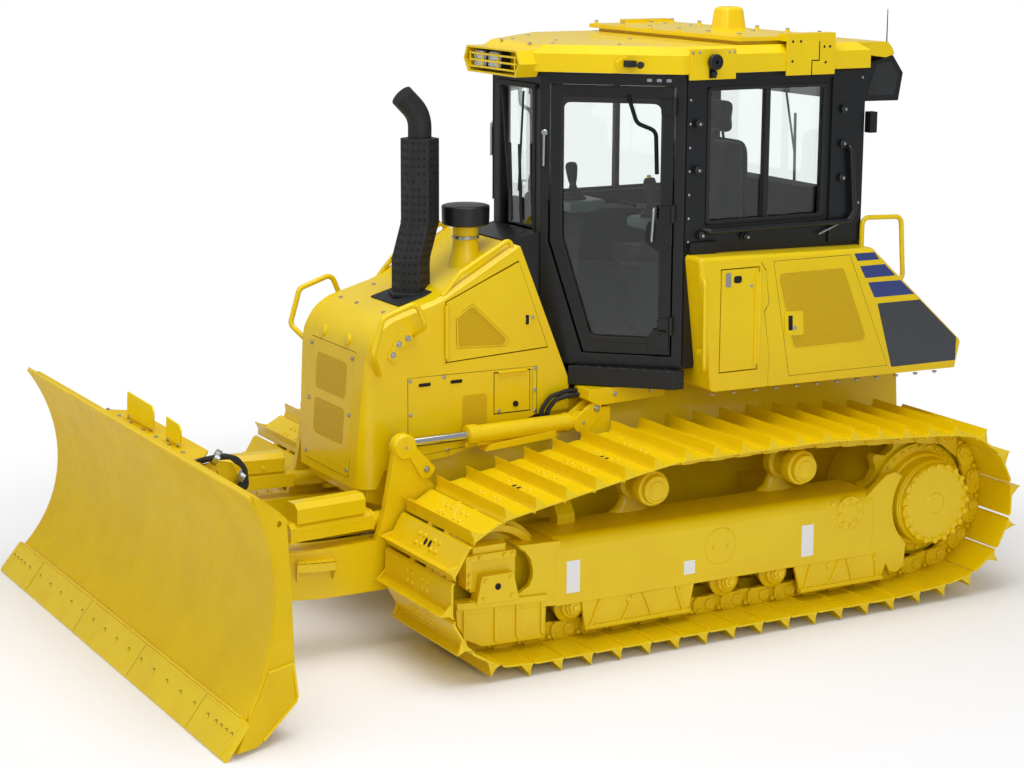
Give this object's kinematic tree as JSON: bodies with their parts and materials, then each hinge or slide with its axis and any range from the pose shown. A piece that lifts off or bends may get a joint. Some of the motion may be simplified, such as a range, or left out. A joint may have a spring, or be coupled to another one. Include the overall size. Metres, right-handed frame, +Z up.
{
  "type": "crawler bulldozer",
  "caption": "Wide-track crawler bulldozer with a slanted hood, glazed cab and a straight blade that lifts, angles and tilts on hydraulic cylinders",
  "frame": {"origin": "on the ground under the middle of the bounding box", "axes": "+Z up, blade faces -Y, machine left side is +X"},
  "size_m": [3.2918, 4.768, 3.103],
  "materials": {
    "yellow_paint": "gloss yellow enamel",
    "black_paint": "satin black powder coat",
    "clear_glass": "lightly tinted safety glass",
    "lamp_glass": "clear lamp lens over a reflector",
    "chrome": "hard chrome",
    "seat_cloth": "dark grey cloth",
    "grey_plastic": "grained grey moulding",
    "edge_steel": "painted hardened steel",
    "engine_iron": "dark painted castings"
  },
  "bodies": {
    "chassis": {"cab_frame": "black_paint", "cab_glass": "clear_glass", "cab_roof": "yellow_paint", "drawbar": "yellow_paint", "engine": "engine_iron", "exhaust_stack": "black_paint", "final_drive_left": "yellow_paint", "final_drive_right": "yellow_paint", "gnss_dome": "yellow_paint", "hood": "yellow_paint", "hood_handrail_left": "yellow_paint", "hood_handrail_right": "yellow_paint", "idler_left": "yellow_paint", "idler_right": "yellow_paint", "main_frame": "yellow_paint", "operator_station": "grey_plastic", "precleaner": "black_paint", "rear_body": "yellow_paint", "rear_handrails": "yellow_paint", "seat": "seat_cloth", "side_step_left": "black_paint", "side_step_right": "black_paint", "sprocket_left": "yellow_paint", "sprocket_right": "yellow_paint", "track_frame_left": "yellow_paint", "track_frame_right": "yellow_paint", "track_left": "yellow_paint", "track_right": "yellow_paint", "track_rollers_left": "yellow_paint", "track_rollers_right": "yellow_paint", "work_lamps": "lamp_glass"},
    "blade_frame": {"blade_frame": "yellow_paint"},
    "blade_yoke": {"blade_yoke": "yellow_paint"},
    "blade": {"blade": "yellow_paint", "cutting_edge": "edge_steel"},
    "lift_barrel_left": {"lift_barrel_left": "yellow_paint"},
    "lift_barrel_right": {"lift_barrel_right": "yellow_paint"},
    "lift_rod_left": {"lift_rod_left": "chrome"},
    "lift_rod_right": {"lift_rod_right": "chrome"},
    "angle_cross_left": {"angle_cross_left": "yellow_paint"},
    "angle_cross_right": {"angle_cross_right": "yellow_paint"},
    "angle_barrel_left": {"angle_barrel_left": "yellow_paint"},
    "angle_barrel_right": {"angle_barrel_right": "yellow_paint"},
    "angle_rod_left": {"angle_rod_left": "chrome"},
    "angle_rod_right": {"angle_rod_right": "chrome"},
    "tilt_barrel": {"tilt_barrel": "yellow_paint"},
    "tilt_rod": {"tilt_rod": "chrome"},
    "cab_door_left": {"cab_door_left": "black_paint", "door_glass_left": "clear_glass"},
    "cab_door_right": {"cab_door_right": "black_paint", "door_glass_right": "clear_glass"},
    "engine_door_left": {"engine_door_left": "yellow_paint"},
    "engine_door_right": {"engine_door_right": "yellow_paint"},
    "access_door_left": {"access_door_left": "yellow_paint"},
    "access_door_right": {"access_door_right": "yellow_paint"},
    "service_flap": {"service_flap": "yellow_paint"},
    "rear_grille": {"rear_grille": "yellow_paint"}
  },
  "joints": [
    {"name": "blade_lift", "type": "hinge", "parent": "chassis", "child": "blade_frame", "pos_m": [0, -0.198, 0.45], "axis": [-1, 0, 0], "range_deg": [-12, 28]},
    {"name": "blade_angle", "type": "hinge", "parent": "blade_frame", "child": "blade_yoke", "pos_m": [0, -1.93, 0.426], "axis": [0, 0, 1], "range_deg": [-25, 25]},
    {"name": "blade_tilt", "type": "hinge", "parent": "blade_yoke", "child": "blade", "pos_m": [0, -2.05, 0.43], "axis": [0, 1, 0], "range_deg": [-6, 6]},
    {"name": "tilt_barrel_swing", "type": "hinge", "parent": "blade_yoke", "child": "tilt_barrel", "pos_m": [-0.33, -2.02, 0.93], "axis": [0, 1, 0], "range_deg": [-3, 3]},
    {"name": "tilt_rod_slide", "type": "slide", "parent": "tilt_barrel", "child": "tilt_rod", "axis": [1, 0, 0], "range_m": [-0.06, 0.06]},
    {"name": "lift_barrel_left_swing", "type": "hinge", "parent": "chassis", "child": "lift_barrel_left", "pos_m": [0.493, 0.069, 1.025], "axis": [-1, 0, 0], "range_deg": [-11, 24]},
    {"name": "lift_rod_left_slide", "type": "slide", "parent": "lift_barrel_left", "child": "lift_rod_left", "axis": [0, -0.9999, -0.0106], "range_m": [-0.3, 0.13]},
    {"name": "angle_cross_left_turn", "type": "hinge", "parent": "blade_frame", "child": "angle_cross_left", "pos_m": [0.452, -0.92, 0.64], "axis": [0, 0, 1], "range_deg": [-2, 2]},
    {"name": "angle_barrel_left_pitch", "type": "hinge", "parent": "angle_cross_left", "child": "angle_barrel_left", "pos_m": [0.452, -0.92, 0.64], "axis": [0.9939, 0.1103, 0], "range_deg": [-4, 4]},
    {"name": "angle_rod_left_slide", "type": "slide", "parent": "angle_barrel_left", "child": "angle_rod_left", "axis": [0.1103, -0.9939, 0], "range_m": [-0.245, 0.245]},
    {"name": "lift_barrel_right_swing", "type": "hinge", "parent": "chassis", "child": "lift_barrel_right", "pos_m": [-0.493, 0.069, 1.025], "axis": [-1, 0, 0], "range_deg": [-11, 24]},
    {"name": "lift_rod_right_slide", "type": "slide", "parent": "lift_barrel_right", "child": "lift_rod_right", "axis": [0, -0.9999, -0.0106], "range_m": [-0.3, 0.13]},
    {"name": "angle_cross_right_turn", "type": "hinge", "parent": "blade_frame", "child": "angle_cross_right", "pos_m": [-0.452, -0.92, 0.64], "axis": [0, 0, 1], "range_deg": [-2, 2]},
    {"name": "angle_barrel_right_pitch", "type": "hinge", "parent": "angle_cross_right", "child": "angle_barrel_right", "pos_m": [-0.452, -0.92, 0.64], "axis": [0.9939, -0.1103, 0], "range_deg": [-4, 4]},
    {"name": "angle_rod_right_slide", "type": "slide", "parent": "angle_barrel_right", "child": "angle_rod_right", "axis": [-0.1103, -0.9939, 0], "range_m": [-0.245, 0.245]},
    {"name": "cab_door_left_hinge", "type": "hinge", "parent": "chassis", "child": "cab_door_left", "pos_m": [0.73024, 0.47146, 2], "axis": [0, 0, 1], "range_deg": [0, 110]},
    {"name": "cab_door_right_hinge", "type": "hinge", "parent": "chassis", "child": "cab_door_right", "pos_m": [-0.73024, 0.47146, 2], "axis": [0, 0, -1], "range_deg": [0, 110]},
    {"name": "engine_door_left_hinge", "type": "hinge", "parent": "chassis", "child": "engine_door_left", "pos_m": [0.4, -0.65, 1.5], "axis": [0, 0, -1], "range_deg": [0, 85]},
    {"name": "engine_door_right_hinge", "type": "hinge", "parent": "chassis", "child": "engine_door_right", "pos_m": [-0.4, -0.65, 1.5], "axis": [0, 0, 1], "range_deg": [0, 85]},
    {"name": "access_door_left_hinge", "type": "hinge", "parent": "chassis", "child": "access_door_left", "pos_m": [0.909, 0.897, 1.56], "axis": [0, 0, 1], "range_deg": [0, 100]},
    {"name": "access_door_right_hinge", "type": "hinge", "parent": "chassis", "child": "access_door_right", "pos_m": [-0.909, 0.897, 1.56], "axis": [0, 0, -1], "range_deg": [0, 100]},
    {"name": "service_flap_hinge", "type": "hinge", "parent": "chassis", "child": "service_flap", "pos_m": [0.397, -0.268, 1.3], "axis": [0, -1, 0], "range_deg": [0, 100]},
    {"name": "rear_grille_hinge", "type": "hinge", "parent": "chassis", "child": "rear_grille", "pos_m": [0, 1.716, 1.81743], "axis": [1, 0, 0], "range_deg": [0, 75]}
  ],
  "couplings": [
    {"joint": "tilt_barrel_swing", "follows": "blade_tilt", "ratio": 0.376},
    {"joint": "tilt_rod_slide", "follows": "blade_tilt", "m_per_rad": 0.5},
    {"joint": "lift_barrel_left_swing", "follows": "blade_lift", "ratio": 0.79},
    {"joint": "lift_rod_left_slide", "follows": "blade_lift", "m_per_rad": -0.59},
    {"joint": "angle_cross_left_turn", "follows": "blade_angle", "ratio": 0.04},
    {"joint": "angle_barrel_left_pitch", "follows": "blade_tilt", "ratio": 0.55},
    {"joint": "angle_rod_left_slide", "follows": "blade_angle", "m_per_rad": -0.546},
    {"joint": "lift_barrel_right_swing", "follows": "blade_lift", "ratio": 0.79},
    {"joint": "lift_rod_right_slide", "follows": "blade_lift", "m_per_rad": -0.59},
    {"joint": "angle_cross_right_turn", "follows": "blade_angle", "ratio": 0.04},
    {"joint": "angle_barrel_right_pitch", "follows": "blade_tilt", "ratio": -0.55},
    {"joint": "angle_rod_right_slide", "follows": "blade_angle", "m_per_rad": 0.546}
  ]
}
